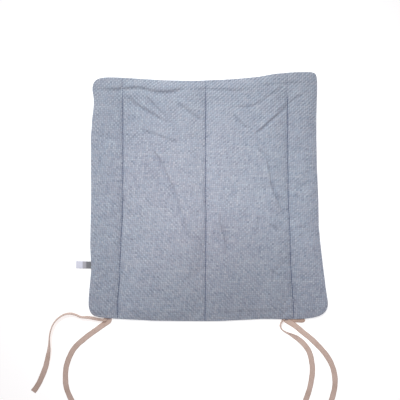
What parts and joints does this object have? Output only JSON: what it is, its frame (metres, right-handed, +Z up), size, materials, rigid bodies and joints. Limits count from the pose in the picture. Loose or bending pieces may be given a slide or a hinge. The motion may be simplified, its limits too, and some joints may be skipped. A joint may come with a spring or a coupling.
{
  "type": "chair seat pad",
  "caption": "Thin quilted square seat pad in woven cloth, with a folded side label and tape ties at its back corners.",
  "frame": {"origin": "middle of the flat underside", "axes": "+Z up through the pad's thickness, +Y from the tie edge towards the opposite edge, +X to the right seen from above"},
  "size_m": [0.5215, 0.6114, 0.011],
  "materials": {
    "cover_cloth": "plain weave, heathered blue-grey, matt",
    "wadding": "soft white polyester wadding",
    "thread": "spun polyester sewing thread",
    "tie_tape": "soft woven tape, matt beige-pink",
    "label_tape": "smooth printed-label satin, blank"
  },
  "bodies": {
    "pad": {"top_cover": "cover_cloth", "bottom_cover": "cover_cloth", "wadding": "wadding", "seam_thread": "thread", "closing_stitch": "thread", "left_quilting_needle_thread": "thread", "centre_quilting_needle_thread": "thread", "right_quilting_needle_thread": "thread", "left_quilting_bobbin_thread": "thread", "centre_quilting_bobbin_thread": "thread", "right_quilting_bobbin_thread": "thread", "left_tie_sewn_end": "tie_tape", "left_tie_back_tack": "thread", "right_tie_sewn_end": "tie_tape", "right_tie_back_tack": "thread", "label_sewn_end": "label_tape"},
    "left_tie": {"left_tie_straight_tail": "tie_tape", "left_tie_curled_tail": "tie_tape"},
    "right_tie": {"right_tie_straight_tail": "tie_tape", "right_tie_curled_tail": "tie_tape"},
    "label": {"label_loop": "label_tape"}
  },
  "joints": [
    {"name": "left_tie_lift", "type": "hinge", "parent": "pad", "child": "left_tie", "pos_m": [-0.171, -0.2127, 0.0012], "axis": [-1, 0, 0], "range_deg": [-80, 90]},
    {"name": "right_tie_lift", "type": "hinge", "parent": "pad", "child": "right_tie", "pos_m": [0.131, -0.2134, 0.0012], "axis": [-1, 0, 0], "range_deg": [-80, 90]},
    {"name": "label_flip", "type": "hinge", "parent": "pad", "child": "label", "pos_m": [-0.2014, -0.116, 0.0012], "axis": [0, 1, 0], "range_deg": [-70, 100]}
  ]
}
